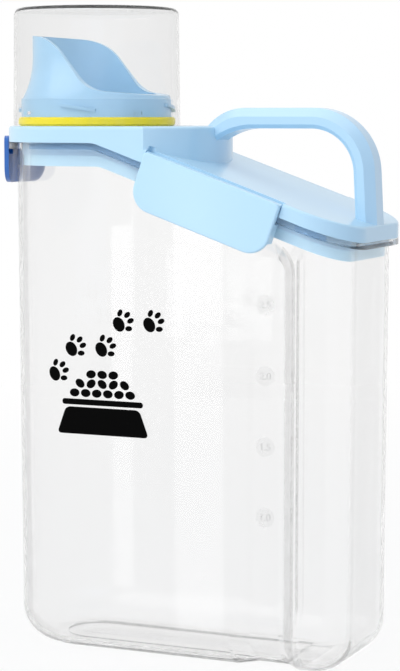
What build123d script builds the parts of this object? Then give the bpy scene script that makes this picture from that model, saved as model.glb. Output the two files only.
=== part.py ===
"""Pet food storage container with a hinged-latch lid, pour spout, carry handle and measuring cup.

The tub stands on its flat base at Z = 0. The carry handle is at the +X end and the
pour spout at the -X end. The long walls face -Y (near) and +Y (far). Millimetres.
X runs from the middle of the tub, and every piece is then moved a little along X, so
that the origin lies under the middle of the overall length.
"""

from build123d import *
import math
import os

# Tub: a long tub with a half-round -X end and two rounded corners at the +X end.
BODY_LENGTH = 195.0
BODY_WIDTH = 86.5
BODY_CORNER = 21.5
WALL = 2.2
FLOOR = 3.0
BOTTOM_FILLET = 18.4
DRAFT = 0.35
DRAFT_ZERO_Z = 250.0
FOOT_RECESS = 1.2
FOOT_INSET = 25.0
BELOW_BASE = 20.0

# Rim line: level over the spout end, then sloping down towards the +X end.
RIM_Z = 263.5
BEND_X = -34.8
SLOPE = 19.4
BEND_RADIUS = 14.0

# Heights beside the rim line, measured straight up from it.
LIP_TOP = 3.0
FLANGE_TOP = -0.4
FLANGE_LOW = -3.4
FLANGE_OUT = 4.5
DECK_TOP = 7.5
DECK_LOW = 4.9

# Grip channels, one in each long wall.
GRIP_X = 53.5
GRIP_DEPTH = 9.7
GRIP_FLOOR_HALF = 8.2
GRIP_ARCH_Z = 199.7
GRIP_RUN = 1.0
GRIP_OVERRUN = 2.5
GRIP_FOOT_Z = 28.0

# Lid shell.
RIM_OUT = 4.4
RIM_WALL = 3.0
DECK_FILLET = 1.6
PLATFORM_Z = 271.8
PLATFORM_ARC_X = -45.4
PLATFORM_ARC_R = 61.5
PLATFORM_WALL = 2.4
PLATFORM_TOP = 2.6
PLATFORM_FILLET = 1.8
SKIRT_GAP = 1.0
SKIRT_WALL = 2.0
SKIRT_DEPTH = 12.0

# Lid gasket.
GASKET_LIFT = 0.3
GASKET_LOW = -6.5
GASKET_SLEEVE = 0.5
GASKET_INSET = 0.6
FIN_GAP = 0.35
FIN_HEIGHT = 0.9
FIN_LOWS = (-2.4, -5.6)

# Pour spout and its seal ring, on the axis of the measuring cup.
SPOUT_X = -56.0
SPOUT_BORE_R = 31.0
SLEEVE_R = 35.5
SLEEVE_LOW = 266.5
COLLAR_R = 39.5
COLLAR_LOW = 276.3
COLLAR_TOP = 286.0
COLLAR_CHAMFER = 0.5
TUBE_R = 33.4
FLARE_R = 44.0
FLARE_TOP = 307.0
SPOUT_TOP = 322.0
MOUTH_LEFT = (-112.0, 320.6)
MOUTH_HIGH = (-65.9, 316.7)
MOUTH_LOW = (-44.8, 290.1)
MOUTH_RIGHT = (0.0, 285.4)
MOUTH_HIGH_R = 26.0
MOUTH_LOW_R = 18.0
LUG_COUNT = 4
LUG_OUT = 1.6
LUG_Z = 281.2
LUG_LENGTH = 19.0
LUG_HEIGHT = 1.7
LUG_BLOCK = 8.0
LUG_SLANT = -9.0
LUG_START = -78.0
SEAL_R = 41.0
SEAL_CHAMFER = 1.0

# Measuring cup, upside down over the spout.
CUP_TOP_Z = 332.6
CUP_GAP = 0.3
CUP_R_OPEN = 43.6
CUP_R_CLOSED = 43.0
CUP_WALL = 1.5
CUP_BASE = 1.8
CUP_FILLET = 3.6
CUP_LUG_Z = 278.4
CUP_LUG_R = 41.6
CUP_LUG_START = -33.0
CUP_LUG_SIZE = (2.6, 4.0, 1.6)

# Carry handle.
HANDLE_TOP = 281.0
HANDLE_THICK = 10.3
HANDLE_WIDTH = 18.8
HANDLE_OUT_X = 99.9
HANDLE_FOOT_Z = 205.0
HANDLE_BEND = 22.5
HANDLE_LEAN = 3.0
HANDLE_LEFT_X = 5.0
HANDLE_LEFT_R = 27.0
HANDLE_LEFT_TOP_X = 30.0
HANDLE_LEFT_IN_X = 13.0
HANDLE_LEFT_IN_R = 37.0
HANDLE_LEFT_LOW_X = 36.0
HANDLE_OUTER_CHAMFER = 4.4
HANDLE_INNER_CHAMFER = 2.0

# Side latches, in the frame of the sloping rim: along the slope, and square to it.
LATCH_MID = 67.9
LATCH_LENGTH = 76.6
LATCH_TOP = 6.3
LATCH_BOTTOM = -22.0
LATCH_CORNER = 11.0
LATCH_TOP_CORNER = 2.0
LATCH_EDGE = 1.0
LATCH_GAP = 0.4
LATCH_PLATE = 2.4
PIN_R = 0.8
BORE_R = 0.85
KNUCKLE_R = 2.2
KNUCKLE_OUT = 2.9
KNUCKLE_UP = 4.15
WEB_HEIGHT = 3.2
HOOK_LENGTH = 58.0
HOOK_BITE = 1.25
HOOK_TOP = -3.7
HOOK_LOW = -6.2
RIB_IN = 0.7
RIB_TOP = -4.1
RIB_LOW = -14.0
RIB_WALL = 1.6
NOTCH_IN = -0.3
NOTCH_DEPTH = 8.6
NOTCH_LOW = -1.5
NOTCH_HIGH = 9.0
NOTCH_SIDE_GAP = 0.3
PIN_SEAT = 3.3

# End latch, curved round the -X end.
END_PIN_X = -99.4
END_PIN_Z = 268.1
END_HALF = 19.5
END_TOP = 266.6
END_BOTTOM = 242.0
END_CORNER = 9.0
END_TOP_CORNER = 3.0
END_KNUCKLE_HALF = 10.4
END_HOOK_TOP = 259.5
END_HOOK_LOW = 257.0
END_NOTCH_X = -96.9
END_NOTCH_LOW = 262.0
END_NOTCH_HIGH = 280.0
END_HOOK_WIDTH = 28.0
END_PIN_LENGTH = 27.0

# Blocks that are cut to size by another form reach past it by these.
BLOCK_LOW = 150.0
BLOCK_TOP = 330.0
TUB_BLOCK_TOP = 285.0
PLATFORM_BLOCK_LOW = 230.0
PAST_END = 160.0
EMBED = 0.5

# Derived places.
HALF = BODY_WIDTH / 2
SIDE_PIN_LENGTH = LATCH_LENGTH + 2 * PIN_SEAT
END_CENTER_X = -BODY_LENGTH / 2 + HALF
LATCH_IN = RIM_OUT + LATCH_GAP
LATCH_OUT = LATCH_IN + LATCH_PLATE
ORIGIN_SHIFT = (LATCH_OUT - FLANGE_OUT) / 2
SLOPE_RISE = math.tan(math.radians(SLOPE))
SLOPE_COS = math.cos(math.radians(SLOPE))
SLOPE_SIN = math.sin(math.radians(SLOPE))
SLOPE_FRAME = Plane(
    origin=(BEND_X, 0, RIM_Z),
    x_dir=(SLOPE_COS, 0, -SLOPE_SIN),
    z_dir=(SLOPE_SIN, 0, SLOPE_COS),
)


def plan(grow):
    """The tub's outline seen from above, grown outwards all round."""
    half = HALF + grow
    left = END_CENTER_X
    right = BODY_LENGTH / 2 + grow
    block = Pos((left + right) / 2, 0) * Rectangle(right - left, 2 * half)
    corner = max(BODY_CORNER + grow, 3.0)
    block = fillet(block.vertices().group_by(Axis.X)[-1], corner)
    return block + Pos(left, 0) * Circle(half)


def column(grow):
    """The grown outline as an upright block."""
    return extrude(Pos(0, 0, BLOCK_LOW) * plan(grow), BLOCK_TOP - BLOCK_LOW)


def drafted(grow, low, high, radius):
    """The tub's form: walls that open by the draft, over a filleted bottom edge."""
    shrink = (DRAFT_ZERO_Z - low) * math.tan(math.radians(DRAFT))
    block = extrude(Pos(0, 0, low) * plan(grow - shrink), high - low, taper=-DRAFT)
    return fillet(block.faces().sort_by(Axis.Z)[0].edges(), radius)


def below(rise):
    """Everything below the rim line, raised by a height."""
    z = RIM_Z + rise
    end_z = z - SLOPE_RISE * (PAST_END - BEND_X)
    corners = [
        (-PAST_END, -BELOW_BASE),
        (-PAST_END, z),
        (BEND_X, z),
        (PAST_END, end_z),
        (PAST_END, -BELOW_BASE),
    ]
    side = make_face(Polyline(*corners, close=True))
    bend = side.vertices().sort_by_distance((BEND_X, z, 0))[0]
    side = fillet(bend, BEND_RADIUS)
    return extrude(Plane.XZ * side, BODY_WIDTH, both=True)


def band(low, high):
    """The layer between two heights beside the rim line."""
    return below(high) - below(low)


def grip_cut(inset):
    """One channel of the near wall: ramps, an arched head and a foot round the bottom's curve."""
    floor_y = GRIP_DEPTH + inset - HALF
    run_angle = math.atan(GRIP_RUN)
    half = GRIP_FLOOR_HALF + inset * math.tan(run_angle / 2)
    reach = GRIP_DEPTH + inset + GRIP_OVERRUN
    height = GRIP_ARCH_Z - GRIP_FOOT_Z
    floor = Pos(GRIP_X, GRIP_ARCH_Z) * Circle(half)
    floor += Pos(GRIP_X, GRIP_ARCH_Z - height / 2) * Rectangle(2 * half, height)
    cut = extrude(Plane.XZ.offset(-floor_y) * floor, reach, taper=-math.degrees(run_angle))
    # The foot's section runs down the channel's floor and then inwards with the bottom edge.
    curve_y = floor_y + BOTTOM_FILLET - inset
    curve = CenterArc((curve_y, BOTTOM_FILLET), BOTTOM_FILLET - inset, 180, 90)
    outside = Polyline(
        curve @ 1,
        (curve_y, -BELOW_BASE),
        (-BODY_WIDTH, -BELOW_BASE),
        (-BODY_WIDTH, GRIP_FOOT_Z),
        (floor_y, GRIP_FOOT_Z),
        curve @ 0,
    )
    section = make_face(curve + outside)
    cut += extrude(Plane.YZ.offset(GRIP_X) * section, half, both=True)
    for side in (-1, 1):
        face = Plane.YZ.offset(GRIP_X + side * half) * section
        slant = Vector(side * GRIP_RUN * reach, -reach, 0)
        cut += Solid.extrude(face.face(), slant)
    return cut


def both_sides(shape):
    """A near-side form and its mirror image on the far side."""
    return shape + mirror(shape, Plane.XZ)


def slope_box(along, near, up, length, depth, height):
    """A box in the slope's frame; near is the distance of its inner face from Y = 0."""
    return SLOPE_FRAME * Pos(along, -(near + depth / 2), up) * Box(length, depth, height)


def slope_rod(radius, length):
    """A round bar along the near hinge line."""
    place = Pos(LATCH_MID, -(HALF + KNUCKLE_OUT), KNUCKLE_UP)
    return SLOPE_FRAME * place * Rot(0, 90, 0) * Cylinder(radius, length)


def end_rod(radius, length):
    """A round bar along the end latch's hinge line."""
    return Pos(END_PIN_X, 0, END_PIN_Z) * Rot(90, 0, 0) * Cylinder(radius, length)


def end_ring(inner, outer, low, high):
    """An upright ring round the centre of the tub's half-round end."""
    ring = Circle(outer) - Circle(inner)
    return extrude(Pos(END_CENTER_X, 0, low) * ring, high - low)


def make_body():
    """Clear tub with its lip, the flange that the latches hook under, and the grips."""
    tub = drafted(0, 0, TUB_BLOCK_TOP, BOTTOM_FILLET) & below(LIP_TOP)
    tub += column(FLANGE_OUT) & band(FLANGE_LOW, FLANGE_TOP)
    tub -= both_sides(grip_cut(0))
    hollow = drafted(-WALL, FLOOR, TUB_BLOCK_TOP, BOTTOM_FILLET - WALL)
    hollow -= both_sides(grip_cut(WALL))
    foot = extrude(plan(-FOOT_INSET), FOOT_RECESS)
    return tub - hollow - foot


def lid_outside():
    """The lid's outer form: the sloping deck with the level platform standing on it."""
    deck = column(RIM_OUT) & band(0, DECK_TOP)
    top_edges = [
        edge
        for edge in deck.edges()
        if abs(edge.center().Z - rim_height(edge.center().X) - DECK_TOP) < 0.4
        and abs(edge.center().Y) + max(0.0, edge.center().X - 60) > 25
    ]
    deck = fillet(top_edges, DECK_FILLET)
    footprint = plan(RIM_OUT) & Pos(PLATFORM_ARC_X, 0) * Circle(PLATFORM_ARC_R)
    height = PLATFORM_Z - PLATFORM_BLOCK_LOW
    platform = extrude(Pos(0, 0, PLATFORM_BLOCK_LOW) * footprint, height)
    platform = fillet(platform.faces().sort_by(Axis.Z)[-1].edges(), PLATFORM_FILLET)
    return deck + (platform - below(0))


def rim_height(x):
    """Height of the rim line at a place along the tub."""
    return RIM_Z - SLOPE_RISE * max(0.0, x - BEND_X)


def make_lid(outside):
    """Lid shell: rim, skirt that plugs the tub, platform hole and latch notches."""
    lid = outside - (column(RIM_OUT - RIM_WALL) & band(-1, DECK_LOW))
    skirt_out = -WALL - SKIRT_GAP
    skirt_in = skirt_out - SKIRT_WALL
    skirt = column(skirt_out) & band(-SKIRT_DEPTH, DECK_LOW)
    lid += skirt - column(skirt_in)
    footprint = plan(skirt_in) & Pos(PLATFORM_ARC_X, 0) * Circle(PLATFORM_ARC_R - PLATFORM_WALL)
    room = PLATFORM_Z - PLATFORM_TOP - PLATFORM_BLOCK_LOW
    lid -= extrude(Pos(0, 0, PLATFORM_BLOCK_LOW) * footprint, room)
    lid -= Pos(SPOUT_X, 0, PLATFORM_Z) * Cylinder(SLEEVE_R, 2 * SKIRT_DEPTH)
    notch = slope_box(
        LATCH_MID,
        HALF + NOTCH_IN,
        (NOTCH_LOW + NOTCH_HIGH) / 2,
        LATCH_LENGTH + 2 * NOTCH_SIDE_GAP,
        NOTCH_DEPTH,
        NOTCH_HIGH - NOTCH_LOW,
    )
    lid -= both_sides(notch)
    end_notch = Box(10, 2 * (END_KNUCKLE_HALF + LATCH_GAP), END_NOTCH_HIGH - END_NOTCH_LOW)
    lid -= Pos(END_NOTCH_X - 5, 0, (END_NOTCH_LOW + END_NOTCH_HIGH) / 2) * end_notch
    lid -= both_sides(slope_rod(PIN_R, SIDE_PIN_LENGTH))
    return lid - end_rod(PIN_R, END_PIN_LENGTH)


def make_gasket():
    """Soft seal: a flat ring over the tub's lip and a sleeve with two fins on the skirt."""
    inner = -WALL - SKIRT_GAP
    seal = (column(-GASKET_INSET) & band(LIP_TOP + GASKET_LIFT, DECK_LOW)) - column(inner)
    seal += (column(inner + GASKET_SLEEVE) & band(GASKET_LOW, DECK_LOW)) - column(inner)
    for low in FIN_LOWS:
        fin = column(-WALL - FIN_GAP) & band(low, low + FIN_HEIGHT)
        seal += fin - column(inner)
    return seal


def make_spout():
    """Scoop-shaped pouring tube that flares down to a collar with slanted twist lugs."""
    sweep = math.degrees(math.asin((FLARE_TOP - COLLAR_TOP) / FLARE_R))
    flare = JernArc((TUBE_R, FLARE_TOP), (0, -1), FLARE_R, sweep)
    rest = Polyline(
        flare @ 1,
        (COLLAR_R, COLLAR_TOP),
        (COLLAR_R, COLLAR_LOW),
        (SLEEVE_R, COLLAR_LOW),
        (SLEEVE_R, SLEEVE_LOW),
        (SPOUT_BORE_R, SLEEVE_LOW),
        (SPOUT_BORE_R, SPOUT_TOP),
        (TUBE_R, SPOUT_TOP),
        flare @ 0,
    )
    section = make_face(flare + rest)
    brim = section.vertices().sort_by_distance((COLLAR_R, COLLAR_TOP, 0))[0]
    section = chamfer(brim, COLLAR_CHAMFER)
    spout = revolve(Plane.XZ * section, Axis.Z)
    # The mouth: high tongue at -X, a curved fall, then a low lip towards the handle.
    sky = SPOUT_TOP + 20
    corners = [MOUTH_LEFT, MOUTH_HIGH, MOUTH_LOW, MOUTH_RIGHT]
    corners += [(MOUTH_RIGHT[0], sky), (MOUTH_LEFT[0], sky)]
    above = make_face(Polyline(*corners, close=True))
    for corner, radius in ((MOUTH_HIGH, MOUTH_HIGH_R), (MOUTH_LOW, MOUTH_LOW_R)):
        bend = above.vertices().sort_by_distance((*corner, 0))[0]
        above = fillet(bend, radius)
    mouth = extrude(Plane.XZ * above, BODY_WIDTH, both=True)
    spout = Pos(SPOUT_X, 0, 0) * spout - mouth
    for index in range(LUG_COUNT):
        spout += twist_lug(index * 360 / LUG_COUNT + LUG_START)
    return spout


def twist_lug(angle):
    """One slanted rib on the collar, for the cup's lugs to run under."""
    bar = Pos(COLLAR_R, 0, LUG_Z) * Rot(LUG_SLANT, 0, 0) * Box(LUG_BLOCK, LUG_LENGTH, LUG_HEIGHT)
    shell = Cylinder(COLLAR_R + LUG_OUT, LUG_LENGTH) - Cylinder(COLLAR_R - EMBED, LUG_LENGTH)
    rib = bar & Pos(0, 0, LUG_Z) * shell
    return Pos(SPOUT_X, 0, 0) * Rot(0, 0, angle) * rib


def make_seal_ring():
    """Soft ring between the platform and the spout's collar, with eased outer edges."""
    low = PLATFORM_Z
    height = COLLAR_LOW - low
    ring = Cylinder(SEAL_R, height) - Cylinder(SLEEVE_R, height)
    outer = [
        edge
        for edge in ring.edges()
        if edge.geom_type == GeomType.CIRCLE and edge.radius > SLEEVE_R + 1
    ]
    ring = chamfer(outer, SEAL_CHAMFER)
    return Pos(SPOUT_X, 0, (low + COLLAR_LOW) / 2) * ring


def make_cup():
    """Clear measuring cup, upside down, with small lugs inside its open end."""
    low = PLATFORM_Z + CUP_GAP
    outside = make_face(
        Polyline(
            (0, low), (CUP_R_OPEN, low), (CUP_R_CLOSED, CUP_TOP_Z), (0, CUP_TOP_Z), close=True
        )
    )
    corner = outside.vertices().sort_by_distance((CUP_R_CLOSED, CUP_TOP_Z, 0))[0]
    outside = fillet(corner, CUP_FILLET)
    inner_top = CUP_TOP_Z - CUP_BASE
    inside = make_face(
        Polyline(
            (0, low - 1),
            (CUP_R_OPEN - CUP_WALL, low - 1),
            (CUP_R_CLOSED - CUP_WALL, inner_top),
            (0, inner_top),
            close=True,
        )
    )
    corner = inside.vertices().sort_by_distance((CUP_R_CLOSED - CUP_WALL, inner_top, 0))[0]
    inside = fillet(corner, CUP_FILLET - CUP_BASE)
    cup = revolve(Plane.XZ * outside, Axis.Z) - revolve(Plane.XZ * inside, Axis.Z)
    for index in range(LUG_COUNT):
        lug = Pos(CUP_LUG_R, 0, CUP_LUG_Z) * Box(*CUP_LUG_SIZE)
        cup += Rot(0, 0, index * 360 / LUG_COUNT + CUP_LUG_START) * lug
    return Pos(SPOUT_X, 0, 0) * cup


def make_handle(outside):
    """Arched handle with chamfered edges, from the platform to the +X end of the deck."""
    under = HANDLE_TOP - HANDLE_THICK
    bend_x = HANDLE_OUT_X - HANDLE_THICK - HANDLE_BEND
    bend_z = under - HANDLE_BEND
    bend_out = HANDLE_BEND + HANDLE_THICK
    left_out = math.degrees(
        math.acos((HANDLE_LEFT_X - HANDLE_LEFT_TOP_X) / HANDLE_LEFT_R)
    )
    left_in = math.degrees(
        math.acos((HANDLE_LEFT_IN_X - HANDLE_LEFT_LOW_X) / HANDLE_LEFT_IN_R)
    )
    top_center = (HANDLE_LEFT_TOP_X, HANDLE_TOP - HANDLE_LEFT_R)
    low_center = (HANDLE_LEFT_LOW_X, under - HANDLE_LEFT_IN_R)
    top_arc = CenterArc(top_center, HANDLE_LEFT_R, 90, left_out - 90)
    low_arc = CenterArc(low_center, HANDLE_LEFT_IN_R, 90, left_in - 90)
    right_arc = CenterArc((bend_x, bend_z), bend_out, HANDLE_LEAN, 90 - HANDLE_LEAN)
    inner_arc = CenterArc((bend_x, bend_z), HANDLE_BEND, HANDLE_LEAN, 90 - HANDLE_LEAN)
    outline = [
        top_arc,
        Line(top_arc @ 0, right_arc @ 1),
        right_arc,
        Polyline(right_arc @ 0, leg_foot(right_arc @ 0), leg_foot(inner_arc @ 0), inner_arc @ 0),
        inner_arc,
        Line(inner_arc @ 1, low_arc @ 0),
        low_arc,
        Line(low_arc @ 1, top_arc @ 1),
    ]
    face = make_face(outline)
    handle = extrude(Plane.XZ * face, HANDLE_WIDTH / 2, both=True)
    rims = handle.edges().filter_by(lambda e: abs(abs(e.center().Y) - HANDLE_WIDTH / 2) < 0.01)
    rims = rims.filter_by(lambda e: e.center().X > 12 and e.center().Z > HANDLE_FOOT_Z + 1)
    outer = rims.filter_by(lambda e: is_outer(e.center(), bend_x, bend_z, bend_out))
    inner = rims.filter_by(lambda e: not is_outer(e.center(), bend_x, bend_z, bend_out))
    handle = chamfer(outer, HANDLE_OUTER_CHAMFER)
    handle = chamfer(match_edges(handle, inner), HANDLE_INNER_CHAMFER)
    return handle - outside - below(DECK_TOP - 1)


def leg_foot(point):
    """Where the handle's leaning leg ends, below a place on it."""
    drop = point.Y - HANDLE_FOOT_Z
    return (point.X + drop * math.tan(math.radians(HANDLE_LEAN)), HANDLE_FOOT_Z)


def is_outer(point, bend_x, bend_z, bend_out):
    """Whether an edge's middle lies on the handle's outer curve."""
    if point.X > bend_x and point.Z > bend_z:
        return math.hypot(point.X - bend_x, point.Z - bend_z) > bend_out - 4
    return point.Z > HANDLE_TOP - 6 or point.X > HANDLE_OUT_X - 1


def match_edges(solid, edges):
    """The same edges on a solid that has been worked on since."""
    centers = [edge.center() for edge in edges]
    return [e for e in solid.edges() if any((e.center() - c).length < 0.05 for c in centers)]


def make_side_latch():
    """Near latch: a flat flap with knuckle, hook rib, end walls and rounded lower corners."""
    height = LATCH_TOP - LATCH_BOTTOM
    face = Pos(LATCH_MID, (LATCH_TOP + LATCH_BOTTOM) / 2) * Rectangle(LATCH_LENGTH, height)
    face = fillet(face.vertices().group_by(Axis.Y)[0], LATCH_CORNER)
    face = fillet(face.vertices().group_by(Axis.Y)[-1], LATCH_TOP_CORNER)
    plate = extrude(Plane.XZ.offset(HALF + LATCH_IN) * face, LATCH_PLATE)
    plate = fillet(plate.faces().sort_by(Axis.Y)[0].edges(), LATCH_EDGE)
    latch = SLOPE_FRAME * plate
    length = LATCH_LENGTH - 2 * NOTCH_SIDE_GAP
    latch += slope_rod(KNUCKLE_R, length)
    web_depth = LATCH_IN + EMBED - KNUCKLE_OUT
    latch += slope_box(LATCH_MID, HALF + KNUCKLE_OUT, KNUCKLE_UP, length, web_depth, WEB_HEIGHT)
    hook = slope_box(
        LATCH_MID,
        HALF + FLANGE_OUT - HOOK_BITE,
        (HOOK_TOP + HOOK_LOW) / 2,
        HOOK_LENGTH,
        LATCH_IN - FLANGE_OUT + HOOK_BITE + EMBED,
        HOOK_TOP - HOOK_LOW,
    )
    latch += hook
    for end in (-1, 1):
        latch += slope_box(
            LATCH_MID + end * (LATCH_LENGTH - RIB_WALL) / 2,
            HALF + RIB_IN,
            (RIB_TOP + RIB_LOW) / 2,
            RIB_WALL,
            LATCH_IN - RIB_IN + EMBED,
            RIB_TOP - RIB_LOW,
        )
    return latch - slope_rod(BORE_R, SIDE_PIN_LENGTH)


def make_end_latch():
    """End latch: a flap curved round the half-round end, with a short hinge knuckle."""
    reach = HALF + LATCH_IN
    height = END_TOP - END_BOTTOM
    outline = Pos(0, (END_TOP + END_BOTTOM) / 2) * Rectangle(2 * END_HALF, height)
    outline = fillet(outline.vertices().group_by(Axis.Y)[0], END_CORNER)
    outline = fillet(outline.vertices().group_by(Axis.Y)[-1], END_TOP_CORNER)
    window = extrude(Plane.YZ.offset(-PAST_END) * outline, PAST_END - BODY_LENGTH / 4)
    latch = end_ring(reach, HALF + LATCH_OUT, END_BOTTOM, END_TOP) & window
    hook_in = HALF + FLANGE_OUT - HOOK_BITE
    hook = end_ring(hook_in, reach + EMBED, END_HOOK_LOW, END_HOOK_TOP)
    latch += hook & Pos(-100, 0, END_HOOK_LOW) * Box(40, END_HOOK_WIDTH, 40)
    latch += end_rod(KNUCKLE_R, 2 * END_KNUCKLE_HALF)
    web_out = END_CENTER_X - reach - EMBED
    web = Box(END_PIN_X - web_out, 2 * END_KNUCKLE_HALF, KNUCKLE_R)
    latch += Pos((END_PIN_X + web_out) / 2, 0, END_PIN_Z - KNUCKLE_R / 2) * web
    return latch - end_rod(BORE_R, END_PIN_LENGTH)


outside = lid_outside()
side_latch = make_side_latch()
side_pin = slope_rod(PIN_R, SIDE_PIN_LENGTH)

parts = {
    "container_body": make_body(),
    "lid_shell": make_lid(outside),
    "lid_gasket": make_gasket(),
    "carry_handle": make_handle(outside),
    "pour_spout": make_spout(),
    "spout_seal_ring": make_seal_ring(),
    "measuring_cup": make_cup(),
    "near_latch": side_latch,
    "far_latch": mirror(side_latch, Plane.XZ),
    "end_latch": make_end_latch(),
    "near_hinge_pin": side_pin,
    "far_hinge_pin": mirror(side_pin, Plane.XZ),
    "end_hinge_pin": end_rod(PIN_R, END_PIN_LENGTH),
}

os.makedirs("parts", exist_ok=True)
for node, shape in parts.items():
    export_step(Pos(ORIGIN_SHIFT, 0, 0) * shape, f"parts/{node}.step")
    print(node, "solids", len(shape.solids()), "volume", round(shape.volume))
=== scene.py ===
"""Looks of a pet food storage container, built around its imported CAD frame.

The object's lengths are written in millimetres and turned to metres by the function mm. The
studio's are in metres. The camera's side is -Y, the pour spout is at -X and the carry handle
at +X.
"""

import math

import bmesh
import bpy
from bpy.props import FloatProperty, FloatVectorProperty, IntProperty, PointerProperty
from mathutils import Matrix, Vector


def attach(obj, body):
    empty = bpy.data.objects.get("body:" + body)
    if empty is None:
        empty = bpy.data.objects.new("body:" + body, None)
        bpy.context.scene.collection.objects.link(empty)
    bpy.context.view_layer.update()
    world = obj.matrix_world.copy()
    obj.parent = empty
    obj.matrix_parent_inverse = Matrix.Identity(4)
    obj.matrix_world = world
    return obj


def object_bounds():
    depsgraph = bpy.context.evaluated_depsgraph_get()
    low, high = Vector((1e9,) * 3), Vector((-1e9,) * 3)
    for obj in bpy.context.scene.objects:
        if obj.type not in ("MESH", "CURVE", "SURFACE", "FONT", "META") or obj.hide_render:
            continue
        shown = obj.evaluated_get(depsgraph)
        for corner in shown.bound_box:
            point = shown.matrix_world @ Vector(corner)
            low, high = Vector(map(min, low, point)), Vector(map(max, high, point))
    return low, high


bl_info = {
    "name": "Food Tub Looks",
    "version": (1, 0, 0),
    "blender": (4, 5, 0),
    "location": "3D View > Sidebar > Food Tub",
    "description": "Finishes, wall print, level marks and studio for a pet food storage container",
    "category": "Object",
}

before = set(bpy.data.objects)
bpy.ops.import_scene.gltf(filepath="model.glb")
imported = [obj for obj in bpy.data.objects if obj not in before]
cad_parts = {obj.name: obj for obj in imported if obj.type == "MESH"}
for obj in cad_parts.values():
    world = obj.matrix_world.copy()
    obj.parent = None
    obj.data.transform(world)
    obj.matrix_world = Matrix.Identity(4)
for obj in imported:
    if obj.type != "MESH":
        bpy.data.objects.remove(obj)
CAD_LOW, CAD_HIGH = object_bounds()

# Camera, fitted to the photograph's outlines.
CAMERA_PLACE = (452.45, -1006.3, 277.8)
CAMERA_AZIMUTH = 24.0
CAMERA_DOWN = 5.915
CAMERA_LENS = 114.6


def mm(length):
    """Millimetres as metres."""
    return length / 1000


# Distance from the middle plane at which the tub's side walls end and its flange begins.
FLANGE_START = mm(43.9)
# Blue painted into the tub's flange: a painted reflection of the blue lid above it.
FLANGE_PAINTED_REFLECTION = "#A9C8E7"

# Height of the upright step inside the foot rim.
FOOT_STEP = mm(1.2)
# Near black painted onto the upright step inside the foot rim: a painted shade that draws the step as a
# dark line.
FOOT_PAINTED_SHADE = "#101112"

# Styrene has 1.59. This lower value is matched to the photograph's thin and pale edges.
CLEAR_IOR = 1.12
CLEAR_TINT = "#FBFBFB"
CLEAR_BODY = "#E4E4E4"

# Middle and half width of the grip channels' steep side at the handle end, with its two corners,
# and its alpha.
STEEP_MIDDLE = mm(68.9)
STEEP_HALF = mm(6.2)
STEEP_ALPHA = 0.35

# Wall print: pieces of kibble in each row from the rim up, the trail of paws, and the number of
# strips that the flat shapes are cut into before they are bent round the wall.
KIBBLE_ROWS = (6, 5, 3)
PAW_COUNT = 5
PAW_SIZE = mm(11.5)
PAW_TURN = math.radians(58)
BEND_STRIPS = 24

# A paw's toes: place beside and above its middle as shares of its size, and tilt in radians.
TOES = ((-0.4, 0.1, -0.5), (-0.15, 0.36, -0.15), (0.15, 0.36, 0.15), (0.4, 0.1, 0.5))

# Level marks: distance from the wall to a disc's middle, and on from there to its number's middle.
# With these depths that leaves 0.04 mm behind the disc and 0.05 mm behind the number.
DISC_AWAY = mm(0.14)
DIGIT_AWAY = mm(0.27)
DISC_DEPTH = mm(0.2)
DIGIT_HALF_DEPTH = mm(0.12)

# The marks' numbers, in litres.
LOWEST_LITRES = 1.0
LITRES_STEP = 0.5

# Gap between the near wall and the ink film.
INK_LIFT = mm(0.03)

# Lamps aimed at the object's middle: name, place, size, watts, whether polished faces mirror it,
# and tint.
LAMPS = (
    ("key_light", (-1.0, -1.5, 1.2), (2.2, 1.5), 24.5, False, "#FFFFFF"),
    ("fill_light", (1.1, -1.3, 0.5), (1.6, 1.6), 6.5, False, "#C4DCFF"),
    ("top_light", (0.0, 0.1, 1.6), (1.8, 1.8), 9.5, True, "#FFFFFF"),
)

# Strips that face the near wall squarely and show in it as upright bands: name, place, size and
# watts.
STRIPS = (
    ("wide_strip", (-0.629, -1.5, -0.125), (0.067, 0.75), 0.58),
    ("slim_strip", (-0.735, -1.5, -0.1125), (0.028, 0.465), 0.15),
)

# Surroundings: strength that lights the object and its tint.
WORLD_STRENGTH = 0.38
WORLD_TINT = "#E4F0FF"

# Floor: half width, distance under the object, and the two distances from the object between
# which the share of plain white in what is seen of it rises, with the share at each.
FLOOR_HALF = 6.0
FLOOR_DROP = mm(0.2)
FLOOR_NEAR, FLOOR_FAR = 0.25, 1.1
FLOOR_NEAR_SHARE, FLOOR_FAR_SHARE = 0.91, 1.0


def linear(code):
    """An sRGB hex colour as linear red, green, blue and alpha."""
    values = [int(code[i : i + 2], 16) / 255 for i in (1, 3, 5)]
    return tuple(v / 12.92 if v <= 0.04045 else ((v + 0.055) / 1.055) ** 2.4 for v in values) + (1.0,)


def add(tree, kind, inputs=None, **settings):
    """Adds a node with its settings, and sets or links its inputs."""
    node = tree.nodes.new(kind)
    for name, value in settings.items():
        setattr(node, name, value)
    for name, value in (inputs or {}).items():
        if isinstance(value, bpy.types.NodeSocket):
            tree.links.new(value, node.inputs[name])
        else:
            node.inputs[name].default_value = value
    return node


def new_material(name):
    """An empty node material and its tree."""
    material = bpy.data.materials.new(name)
    material.use_nodes = True
    material.node_tree.nodes.clear()
    return material, material.node_tree


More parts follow.
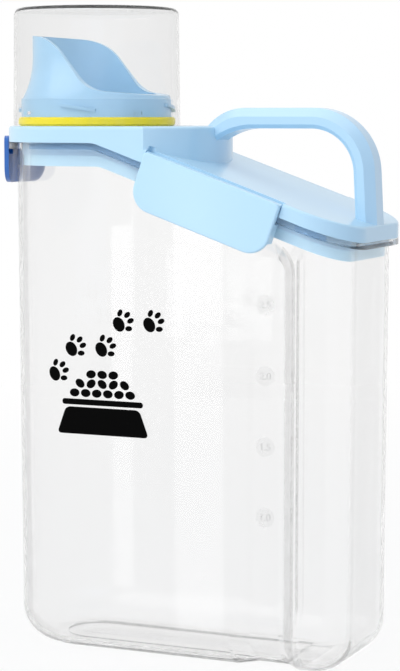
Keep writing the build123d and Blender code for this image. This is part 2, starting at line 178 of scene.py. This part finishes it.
def moulded_plastic(name, color, roughness, shade=0.03):
    """Injection-moulded polypropylene: a satin body under a thin polished skin.

    The skin pales the faces that are seen at a slant. The body has slow flow marks in its
    colour and a fine grain, taken as 0.2 mm on the real piece and drawn at 0.5 mm to show.
    """
    material, tree = new_material(name)
    place = add(tree, "ShaderNodeTexCoord").outputs["Object"]
    flow = add(tree, "ShaderNodeTexNoise", {"Vector": place, "Scale": 1 / mm(55), "Detail": 2.0})
    deep = tuple(c * (1 - shade) for c in color[:3]) + (1.0,)
    tone = add(tree, "ShaderNodeMix", {"Factor": flow.outputs["Fac"], 6: deep, 7: color}, data_type="RGBA")
    grain = add(tree, "ShaderNodeTexNoise", {"Vector": place, "Scale": 1 / mm(0.5), "Detail": 3.0})
    rub = add(
        tree,
        "ShaderNodeMapRange",
        {"Value": grain.outputs["Fac"], "To Min": roughness - 0.05, "To Max": roughness + 0.05},
    )
    bump = add(
        tree, "ShaderNodeBump", {"Height": grain.outputs["Fac"], "Strength": 0.1, "Distance": mm(0.05)}
    )
    shader = add(
        tree,
        "ShaderNodeBsdfPrincipled",
        {
            "Base Color": tone.outputs[2],
            "Roughness": rub.outputs["Result"],
            "Normal": bump.outputs["Normal"],
            "IOR": 1.49,
            "Coat Weight": 0.5,
            "Coat Roughness": 0.12,
        },
    )
    add(tree, "ShaderNodeOutputMaterial", {"Surface": shader.outputs["BSDF"]})
    return material


def clear_plastic(name, density, roughness, alpha=1.0, foot_shade=0.0):
    """Clear moulded styrene: polished faces with a slow ripple and a grey body where it is thick.

    The upright step inside the foot rim is painted near black, a painted shade that draws it as a
    dark line. The flange is painted blue, a painted reflection of the blue lid above it. The
    channels' steep side renders with dark lines that the photograph lacks, so it is drawn more
    see-through.
    """
    material, tree = new_material(name)
    coords = add(tree, "ShaderNodeTexCoord").outputs
    place = coords["Object"]
    ripple = add(tree, "ShaderNodeTexNoise", {"Vector": place, "Scale": 1 / mm(38), "Detail": 1.0})
    bump = add(
        tree, "ShaderNodeBump", {"Height": ripple.outputs["Fac"], "Strength": 0.05, "Distance": mm(0.4)}
    )
    rub = add(tree, "ShaderNodeTexNoise", {"Vector": place, "Scale": 1 / mm(9), "Detail": 4.0})
    haze = add(
        tree, "ShaderNodeMapRange", {"Value": rub.outputs["Fac"], "To Min": 0.0, "To Max": roughness}
    )
    axes = add(tree, "ShaderNodeSeparateXYZ", {"Vector": place}).outputs
    # Painted shade: upright faces at the height of the foot rim's step are painted near black.
    low = add(
        tree,
        "ShaderNodeMapRange",
        {
            "Value": axes["Z"],
            "From Min": FOOT_STEP - mm(0.1),
            "From Max": FOOT_STEP + mm(0.1),
            "To Min": foot_shade,
            "To Max": 0.0,
        },
    )
    facing = add(tree, "ShaderNodeSeparateXYZ", {"Vector": coords["Normal"]}).outputs
    slope = add(tree, "ShaderNodeMath", {0: facing["Z"]}, operation="ABSOLUTE")
    upright = add(
        tree,
        "ShaderNodeMapRange",
        {"Value": slope.outputs[0], "From Min": 0.4, "From Max": 0.7, "To Min": 1.0, "To Max": 0.0},
    )
    step = add(
        tree,
        "ShaderNodeMath",
        {0: low.outputs["Result"], 1: upright.outputs["Result"]},
        operation="MULTIPLY",
    )
    foot = add(
        tree,
        "ShaderNodeMix",
        {"Factor": step.outputs[0], 6: linear(CLEAR_TINT), 7: linear(FOOT_PAINTED_SHADE)},
        data_type="RGBA",
    )
    # Painted reflection: past FLANGE_START the clear plastic is painted the lid's blue.
    across = add(tree, "ShaderNodeMath", {0: axes["Y"]}, operation="ABSOLUTE")
    past = add(
        tree,
        "ShaderNodeMapRange",
        {"Value": across.outputs[0], "From Min": FLANGE_START, "From Max": FLANGE_START + mm(0.3)},
    )
    tone = add(
        tree,
        "ShaderNodeMix",
        {"Factor": past.outputs["Result"], 6: foot.outputs[2], 7: linear(FLANGE_PAINTED_REFLECTION)},
        data_type="RGBA",
    )
    along = add(tree, "ShaderNodeMath", {0: axes["X"], 1: STEEP_MIDDLE}, operation="SUBTRACT")
    off_steep = add(tree, "ShaderNodeMath", {0: along.outputs[0]}, operation="ABSOLUTE")
    solid = add(
        tree,
        "ShaderNodeMapRange",
        {
            "Value": off_steep.outputs[0],
            "From Min": STEEP_HALF,
            "From Max": STEEP_HALF + mm(0.8),
            "To Min": STEEP_ALPHA,
            "To Max": alpha,
        },
    )
    shader = add(
        tree,
        "ShaderNodeBsdfPrincipled",
        {
            "Base Color": tone.outputs[2],
            "Roughness": haze.outputs["Result"],
            "Normal": bump.outputs["Normal"],
            "IOR": CLEAR_IOR,
            "Transmission Weight": 1.0,
            "Coat Weight": 0.3,
            "Coat Roughness": 0.02,
            "Alpha": solid.outputs["Result"],
        },
    )
    body = add(tree, "ShaderNodeVolumeAbsorption", {"Color": linear(CLEAR_BODY), "Density": density})
    add(
        tree,
        "ShaderNodeOutputMaterial",
        {"Surface": shader.outputs["BSDF"], "Volume": body.outputs["Volume"]},
    )
    return material


def silicone(name, color, roughness):
    """Cast silicone rubber: an even colour, a soft sheen and a dusty, slightly uneven skin."""
    material, tree = new_material(name)
    place = add(tree, "ShaderNodeTexCoord").outputs["Object"]
    dust = add(tree, "ShaderNodeTexNoise", {"Vector": place, "Scale": 1 / mm(4), "Detail": 5.0})
    pale = tuple(c + (1 - c) * 0.07 for c in color[:3]) + (1.0,)
    tone = add(tree, "ShaderNodeMix", {"Factor": dust.outputs["Fac"], 6: color, 7: pale}, data_type="RGBA")
    bump = add(
        tree, "ShaderNodeBump", {"Height": dust.outputs["Fac"], "Strength": 0.1, "Distance": mm(0.1)}
    )
    shader = add(
        tree,
        "ShaderNodeBsdfPrincipled",
        {
            "Base Color": tone.outputs[2],
            "Roughness": roughness,
            "Normal": bump.outputs["Normal"],
            "IOR": 1.41,
            "Specular IOR Level": 0.08,
            "Sheen Weight": 0.03,
        },
    )
    add(tree, "ShaderNodeOutputMaterial", {"Surface": shader.outputs["BSDF"]})
    return material


def printed_ink(name, color):
    """Screen-printed ink: dense black with a low gloss and the faint pin marks of the mesh."""
    material, tree = new_material(name)
    place = add(tree, "ShaderNodeTexCoord").outputs["Object"]
    mesh_mark = add(tree, "ShaderNodeTexNoise", {"Vector": place, "Scale": 1 / mm(0.6), "Detail": 2.0})
    rub = add(
        tree, "ShaderNodeMapRange", {"Value": mesh_mark.outputs["Fac"], "To Min": 0.35, "To Max": 0.55}
    )
    bump = add(
        tree, "ShaderNodeBump", {"Height": mesh_mark.outputs["Fac"], "Strength": 0.1, "Distance": mm(0.03)}
    )
    shader = add(
        tree,
        "ShaderNodeBsdfPrincipled",
        {
            "Base Color": color,
            "Roughness": rub.outputs["Result"],
            "Normal": bump.outputs["Normal"],
            "IOR": 1.5,
            "Specular IOR Level": 0.03,
        },
    )
    add(tree, "ShaderNodeOutputMaterial", {"Surface": shader.outputs["BSDF"]})
    return material


def paint(node, material):
    """Gives a CAD node one material."""
    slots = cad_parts[node].data.materials
    slots.clear()
    slots.append(material)


def finish_piece(name, bm, material, body):
    """A mesh object from a bmesh, painted and riding on a body."""
    data = bpy.data.meshes.new(name)
    bm.to_mesh(data)
    bm.free()
    data.materials.append(material)
    piece = bpy.data.objects.new(name, data)
    bpy.context.scene.collection.objects.link(piece)
    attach(piece, body)
    return piece


def wall_place(x, z, from_y):
    """The place on the tub's outer wall that lies straight behind a point in front of it."""
    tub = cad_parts["container_body"]
    hit, place, _, _ = tub.ray_cast(Vector((x, from_y, z)), Vector((0, 1, 0)))
    if not hit:
        raise RuntimeError(f"no wall behind x {x:.4f}, z {z:.4f}")
    return place


def lay_on_wall(bm, depth, lift):
    """Lays flat faces on the tub's near wall and gives them a thickness outwards."""
    start_y = CAD_LOW.y - mm(20)
    for vertex in bm.verts:
        vertex.co.y = wall_place(vertex.co.x, vertex.co.z, start_y).y - lift
    bmesh.ops.recalc_face_normals(bm, faces=bm.faces)
    grown = bmesh.ops.extrude_face_region(bm, geom=bm.faces[:])
    front = [item for item in grown["geom"] if isinstance(item, bmesh.types.BMVert)]
    bmesh.ops.translate(bm, verts=front, vec=(0, -depth, 0))
    bmesh.ops.recalc_face_normals(bm, faces=bm.faces)


def add_disc(bm, x, z, radius_x, radius_z, turn=0.0):
    """A filled ellipse facing the camera's side."""
    place = (
        Matrix.Translation((x, 0, z))
        @ Matrix.Rotation(turn, 4, "Y")
        @ Matrix.Diagonal((radius_x, 1, radius_z, 1))
        @ Matrix.Rotation(math.pi / 2, 4, "X")
    )
    bmesh.ops.create_circle(bm, cap_ends=True, segments=28, radius=1, matrix=place)


def add_outline(bm, corners, rounding):
    """A filled outline facing the camera's side, with its corners rounded."""
    verts = [bm.verts.new((x, 0, z)) for x, z in corners]
    bm.faces.new(verts)
    bmesh.ops.bevel(
        bm,
        geom=verts,
        offset=rounding,
        offset_type="OFFSET",
        affect="VERTICES",
        segments=6,
        profile=0.5,
        material=-1,
    )


def add_paw(bm, x, z, size, turn):
    """A paw print: one wide pad and four toes in an arc above it."""
    place = Matrix.Translation((x, 0, z)) @ Matrix.Rotation(turn, 4, "Y")
    pad = place @ Vector((0, 0, -0.22 * size))
    add_disc(bm, pad.x, pad.z, 0.34 * size, 0.27 * size, turn)
    for side, height, tilt in TOES:
        toe = place @ Vector((side * size, 0, height * size))
        add_disc(bm, toe.x, toe.z, 0.115 * size, 0.17 * size, turn + tilt)


def add_band(bm, x, low, high, rounding):
    """An upright four-sided shape, from its height and half width at the foot and at the top."""
    (low_z, low_half), (high_z, high_half) = low, high
    corners = [
        (x - low_half, low_z),
        (x + low_half, low_z),
        (x + high_half, high_z),
        (x - high_half, high_z),
    ]
    add_outline(bm, corners, rounding)


def add_kibble(bm, x, lowest):
    """A heap of kibble: rows of ovals, each turned a little differently."""
    pitch, rise = mm(6.3), mm(4.9)
    half_width, half_height = mm(2.75), mm(2.1)
    for row, count in enumerate(KIBBLE_ROWS):
        first = x - (count - 1) / 2 * pitch
        for index in range(count):
            turn = 0.6 * math.sin(3.1 * index + 1.7 * row)
            add_disc(bm, first + index * pitch, lowest + row * rise, half_width, half_height, turn)


def add_trail(bm, x, lowest):
    """A rising trail of paws that step to the left and the right of it in turn."""
    stride_x, stride_z, sway = mm(13.5), mm(6.8), mm(3.2)
    first = x - (PAW_COUNT - 1) / 2 * stride_x
    for index in range(PAW_COUNT):
        side = sway if index % 2 else -sway
        paw_x = first + index * stride_x - side * 0.55
        add_paw(bm, paw_x, lowest + index * stride_z + side, PAW_SIZE, PAW_TURN)


class FinishColours(bpy.types.PropertyGroup):
    """Colours of the moulded pieces; the end latch's is a painted-shade copy of the latches' blue."""

    lid: FloatVectorProperty(
        name="Lid", description="Lid shell", subtype="COLOR", size=4, default=linear("#C5E8FB")
    )
    handle: FloatVectorProperty(
        name="Handle", description="Carry handle", subtype="COLOR", size=4, default=linear("#C2E5FA")
    )
    latch: FloatVectorProperty(
        name="Latches", description="Side latches", subtype="COLOR", size=4, default=linear("#C6EAFD")
    )
    # Far deeper blue than the side latches: painted shade, for the end latch that faces away from the
    # lamps.
    end_latch: FloatVectorProperty(
        name="End latch", description="End latch", subtype="COLOR", size=4, default=linear("#1463B6")
    )
    spout: FloatVectorProperty(
        name="Spout", description="Pour spout", subtype="COLOR", size=4, default=linear("#A6D1EE")
    )
    seal: FloatVectorProperty(
        name="Seal ring", description="Seal ring", subtype="COLOR", size=4, default=linear("#FFEA00")
    )
    gasket: FloatVectorProperty(
        name="Gasket", description="Lid gasket", subtype="COLOR", size=4, default=linear("#B9D6EC")
    )
    ink: FloatVectorProperty(
        name="Ink", description="Wall print", subtype="COLOR", size=4, default=linear("#040404")
    )


class PrintSizes(bpy.types.PropertyGroup):
    """Place and size of the design on the near wall."""

    center_x: FloatProperty(
        name="Centre X", description="Middle of the design", unit="LENGTH", default=mm(-31)
    )
    bowl_z: FloatProperty(
        name="Bowl foot", description="Height of the bowl's foot", unit="LENGTH", default=mm(115)
    )
    width: FloatProperty(
        name="Width", description="Width at the bowl's foot", unit="LENGTH", default=mm(52)
    )
    film: FloatProperty(
        name="Film", description="Thickness of the ink film", unit="LENGTH", default=mm(0.08)
    )


class MarkSizes(bpy.types.PropertyGroup):
    """Level marks in the near grip channel."""

    x: FloatProperty(
        name="Centre X", description="Middle of the channel", unit="LENGTH", default=mm(54.85)
    )
    lowest: FloatProperty(
        name="Lowest", description="Height of the lowest mark", unit="LENGTH", default=mm(77.6)
    )
    step: FloatProperty(
        name="Step", description="Height between marks", unit="LENGTH", default=mm(35.47)
    )
    count: IntProperty(name="Count", description="Number of marks", default=4, min=1, max=8)
    height: FloatProperty(
        name="Digit height", description="Height of the numbers", unit="LENGTH", default=mm(6)
    )


class FOOD_TUB_OT_clear_pieces(bpy.types.Operator):
    """Finish the clear tub and the clear measuring cup"""

    bl_idname = "food_tub.clear_pieces"
    bl_label = "Clear pieces"

    def execute(self, context):
        # foot_shade=1.0 puts the full painted shade on the foot rim's step.
        tub = clear_plastic("clear_styrene_tub", density=34.0, roughness=0.04, alpha=0.85, foot_shade=1.0)
        cup = clear_plastic("clear_styrene_cup", density=120.0, roughness=0.04)
        paint("container_body", tub)
        paint("measuring_cup", cup)
        return {"FINISHED"}


class FOOD_TUB_OT_lid_pieces(bpy.types.Operator):
    """Finish the lid, the handle, the latches and their pins"""

    bl_idname = "food_tub.lid_pieces"
    bl_label = "Lid pieces"

    def execute(self, context):
        colours = context.scene.food_tub_colours
        lid = moulded_plastic("moulded_polypropylene_lid", tuple(colours.lid), 0.36)
        handle = moulded_plastic("moulded_polypropylene_handle", tuple(colours.handle), 0.33)
        latch = moulded_plastic("moulded_polypropylene_latch", tuple(colours.latch), 0.33)
        # The end latch and the three hinge pins take a darker copy of the latch plastic: painted shade.
        end_latch = moulded_plastic("moulded_polypropylene_end_latch_painted_shade", tuple(colours.end_latch), 0.33)
        paint("lid_shell", lid)
        paint("carry_handle", handle)
        for node in ("near_latch", "far_latch"):
            paint(node, latch)
        paint("end_latch", end_latch)
        for node in ("near_hinge_pin", "far_hinge_pin", "end_hinge_pin"):
            paint(node, end_latch)
        return {"FINISHED"}


class FOOD_TUB_OT_spout_pieces(bpy.types.Operator):
    """Finish the pour spout, its seal ring and the lid's gasket"""

    bl_idname = "food_tub.spout_pieces"
    bl_label = "Spout and seals"

    def execute(self, context):
        colours = context.scene.food_tub_colours
        paint("pour_spout", moulded_plastic("moulded_polypropylene_spout", tuple(colours.spout), 0.34))
        paint("spout_seal_ring", silicone("cast_silicone_seal", tuple(colours.seal), 0.42))
        paint("lid_gasket", silicone("cast_silicone_gasket", tuple(colours.gasket), 0.5))
        return {"FINISHED"}


class FOOD_TUB_OT_wall_print(bpy.types.Operator):
    """Print a bowl of kibble and paw prints on the near wall"""

    bl_idname = "food_tub.wall_print"
    bl_label = "Wall print"

    def execute(self, context):
        sizes = context.scene.food_tub_print
        ink = printed_ink("screen_printed_ink", tuple(context.scene.food_tub_colours.ink))
        bm = bmesh.new()
        x, foot, half = sizes.center_x, sizes.bowl_z, sizes.width / 2
        bowl_top, top_half = foot + mm(14), 0.8 * half
        rim_low, rim_half = bowl_top + mm(1.1), 0.88 * half
        rim_top = rim_low + mm(3.0)
        add_band(bm, x, (foot, half), (bowl_top, top_half), mm(2.4))
        add_band(bm, x, (rim_low, rim_half), (rim_top, rim_half), mm(1.4))
        add_kibble(bm, x, rim_low + mm(6.2))
        add_trail(bm, x, foot + mm(35))
        strip = sizes.width / BEND_STRIPS
        for index in range(BEND_STRIPS):
            cut_x = x - half + (index + 0.5) * strip
            geometry = bm.verts[:] + bm.edges[:] + bm.faces[:]
            bmesh.ops.bisect_plane(bm, geom=geometry, plane_co=(cut_x, 0, 0), plane_no=(1, 0, 0))
        lay_on_wall(bm, sizes.film, INK_LIFT)
        finish_piece("wall_print", bm, ink, "container")
        return {"FINISHED"}


class FOOD_TUB_OT_level_marks(bpy.types.Operator):
    """Raise plain numbers on round discs in the near grip channel"""

    bl_idname = "food_tub.level_marks"
    bl_label = "Level marks"

    def execute(self, context):
        sizes = context.scene.food_tub_marks
        clear = clear_plastic("clear_styrene_marks", density=450.0, roughness=0.5)
        start_y = CAD_LOW.y - mm(20)
        bm = bmesh.new()
        for index in range(sizes.count):
            z = sizes.lowest + index * sizes.step
            disc_y = wall_place(sizes.x, z, start_y).y - DISC_AWAY
            seat = Matrix.Translation((sizes.x, disc_y, z)) @ Matrix.Rotation(math.pi / 2, 4, "X")
            bmesh.ops.create_cone(
                bm,
                cap_ends=True,
                segments=32,
                radius1=sizes.height * 0.84,
                radius2=sizes.height * 0.8,
                depth=DISC_DEPTH,
                matrix=seat,
            )
            curve = bpy.data.curves.new("digits", "FONT")
            curve.body = f"{LOWEST_LITRES + index * LITRES_STEP:.1f}"
            curve.size = sizes.height * 0.85
            curve.align_x = "CENTER"
            curve.align_y = "CENTER"
            curve.extrude = DIGIT_HALF_DEPTH
            text = bpy.data.objects.new("digits", curve)
            bpy.context.scene.collection.objects.link(text)
            bpy.context.view_layer.update()
            shape = bpy.data.meshes.new_from_object(text)
            bpy.data.objects.remove(text)
            shape.transform(Matrix.Translation((0, -DIGIT_AWAY, 0)) @ seat)
            bm.from_mesh(shape)
            bpy.data.meshes.remove(shape)
        bmesh.ops.remove_doubles(bm, verts=bm.verts, dist=mm(0.01))
        bmesh.ops.recalc_face_normals(bm, faces=bm.faces)
        marks = finish_piece("level_marks", bm, clear, "container")
        return {"FINISHED"}


class FOOD_TUB_OT_studio(bpy.types.Operator):
    """Set up the camera, the soft lights, the floor and the white surroundings"""

    bl_idname = "food_tub.studio"
    bl_label = "Studio"

    def execute(self, context):
        scene = context.scene
        scene.view_settings.view_transform = "Standard"
        make_camera(scene)
        make_world(scene)
        make_floor(scene)
        center = (CAD_LOW + CAD_HIGH) / 2
        for name, place, size, watts, mirrored, tint in LAMPS:
            soft_light(scene, name, Vector(place), center, size, watts, mirrored, tint)
        for name, place, size, watts in STRIPS:
            ahead = Vector(place) + Vector((0, 1, 0))
            soft_light(scene, name, Vector(place), ahead, size, watts, True)
        return {"FINISHED"}


def make_camera(scene):
    """The camera at the photograph's place and angle."""
    data = bpy.data.cameras.new("camera")
    data.lens = CAMERA_LENS
    data.sensor_width = 36.0
    data.clip_start = 0.01
    camera = bpy.data.objects.new("camera", data)
    camera.location = [mm(v) for v in CAMERA_PLACE]
    camera.rotation_euler = (math.radians(90 - CAMERA_DOWN), 0, math.radians(CAMERA_AZIMUTH))
    scene.collection.objects.link(camera)
    scene.camera = camera


def seen_directly(tree):
    """A factor of 1 for camera, glossy and transmission rays."""
    path = add(tree, "ShaderNodeLightPath")
    shiny = add(
        tree,
        "ShaderNodeMath",
        {0: path.outputs["Is Glossy Ray"], 1: path.outputs["Is Transmission Ray"]},
        operation="MAXIMUM",
    )
    seen = add(
        tree, "ShaderNodeMath", {0: path.outputs["Is Camera Ray"], 1: shiny.outputs[0]}, operation="MAXIMUM"
    )
    return seen.outputs[0]


def make_world(scene):
    """Surroundings that are seen white and light the object at a plain level, faintly blue."""
    world = bpy.data.worlds.new("white_surroundings")
    world.use_nodes = True
    tree = world.node_tree
    tree.nodes.clear()
    lit = add(
        tree, "ShaderNodeBackground", {"Color": linear(WORLD_TINT), "Strength": WORLD_STRENGTH}
    )
    seen = add(tree, "ShaderNodeBackground", {"Color": linear("#FFFFFF"), "Strength": 1.0})
    both = add(
        tree, "ShaderNodeMixShader", {0: seen_directly(tree), 1: lit.outputs[0], 2: seen.outputs[0]}
    )
    add(tree, "ShaderNodeOutputWorld", {"Surface": both.outputs[0]})
    scene.world = world


def make_floor(scene):
    """A plain pale floor that keeps the object's shadow."""
    bm = bmesh.new()
    bmesh.ops.create_grid(bm, x_segments=1, y_segments=1, size=FLOOR_HALF)
    bmesh.ops.translate(bm, verts=bm.verts, vec=(0, 0, -FLOOR_DROP))
    data = bpy.data.meshes.new("floor")
    bm.to_mesh(data)
    bm.free()
    material, tree = new_material("pale_floor")
    matt = add(tree, "ShaderNodeBsdfDiffuse", {"Color": linear("#EDEDED")})
    white = add(tree, "ShaderNodeEmission", {"Color": linear("#FFFFFF"), "Strength": 1.0})
    place = add(tree, "ShaderNodeTexCoord").outputs["Object"]
    away = add(tree, "ShaderNodeVectorMath", {0: place}, operation="LENGTH").outputs["Value"]
    whiter = add(
        tree,
        "ShaderNodeMapRange",
        {
            "Value": away,
            "From Min": FLOOR_NEAR,
            "From Max": FLOOR_FAR,
            "To Min": FLOOR_NEAR_SHARE,
            "To Max": FLOOR_FAR_SHARE,
        },
    )
    share = add(
        tree, "ShaderNodeMath", {0: seen_directly(tree), 1: whiter.outputs["Result"]}, operation="MULTIPLY"
    )
    both = add(
        tree, "ShaderNodeMixShader", {0: share.outputs[0], 1: matt.outputs[0], 2: white.outputs[0]}
    )
    add(tree, "ShaderNodeOutputMaterial", {"Surface": both.outputs[0]})
    data.materials.append(material)
    floor = bpy.data.objects.new("floor", data)
    scene.collection.objects.link(floor)
    floor.visible_glossy = False


def soft_light(scene, name, place, target, size, watts, mirrored, tint="#FFFFFF"):
    """A soft light of a given width and height, aimed at a point, that polished faces mirror or not."""
    data = bpy.data.lights.new(name, "AREA")
    data.shape = "RECTANGLE"
    data.size, data.size_y = size
    data.energy = watts
    data.color = linear(tint)[:3]
    light = bpy.data.objects.new(name, data)
    light.location = place
    light.rotation_euler = (target - place).to_track_quat("-Z", "Y").to_euler()
    light.visible_camera = False
    light.visible_glossy = mirrored
    scene.collection.objects.link(light)


class FOOD_TUB_PT_panel(bpy.types.Panel):
    """Lists the operators and the sizes that a user would change"""

    bl_idname = "FOOD_TUB_PT_panel"
    bl_label = "Food Tub"
    bl_space_type = "VIEW_3D"
    bl_region_type = "UI"
    bl_category = "Food Tub"

    def draw(self, context):
        layout = self.layout
        for operator in OPERATORS:
            layout.operator(operator.bl_idname)
        for group in GROUPS:
            values = getattr(context.scene, group)
            for name in values.__annotations__:
                layout.prop(values, name)


OPERATORS = (
    FOOD_TUB_OT_clear_pieces,
    FOOD_TUB_OT_lid_pieces,
    FOOD_TUB_OT_spout_pieces,
    FOOD_TUB_OT_wall_print,
    FOOD_TUB_OT_level_marks,
    FOOD_TUB_OT_studio,
)
GROUPS = {
    "food_tub_colours": FinishColours,
    "food_tub_print": PrintSizes,
    "food_tub_marks": MarkSizes,
}
CLASSES = tuple(GROUPS.values()) + OPERATORS + (FOOD_TUB_PT_panel,)


def register():
    """Registers the classes and puts their values on the scene."""
    for cls in CLASSES:
        bpy.utils.register_class(cls)
    for name, group in GROUPS.items():
        setattr(bpy.types.Scene, name, PointerProperty(type=group))


def unregister():
    """Takes the values and the classes away again."""
    for name in GROUPS:
        delattr(bpy.types.Scene, name)
    for cls in reversed(CLASSES):
        bpy.utils.unregister_class(cls)


def main():
    """Runs every operator in order."""
    register()
    bpy.ops.food_tub.clear_pieces()
    bpy.ops.food_tub.lid_pieces()
    bpy.ops.food_tub.spout_pieces()
    bpy.ops.food_tub.wall_print()
    bpy.ops.food_tub.level_marks()
    bpy.ops.food_tub.studio()


if __name__ == "__main__":
    main()
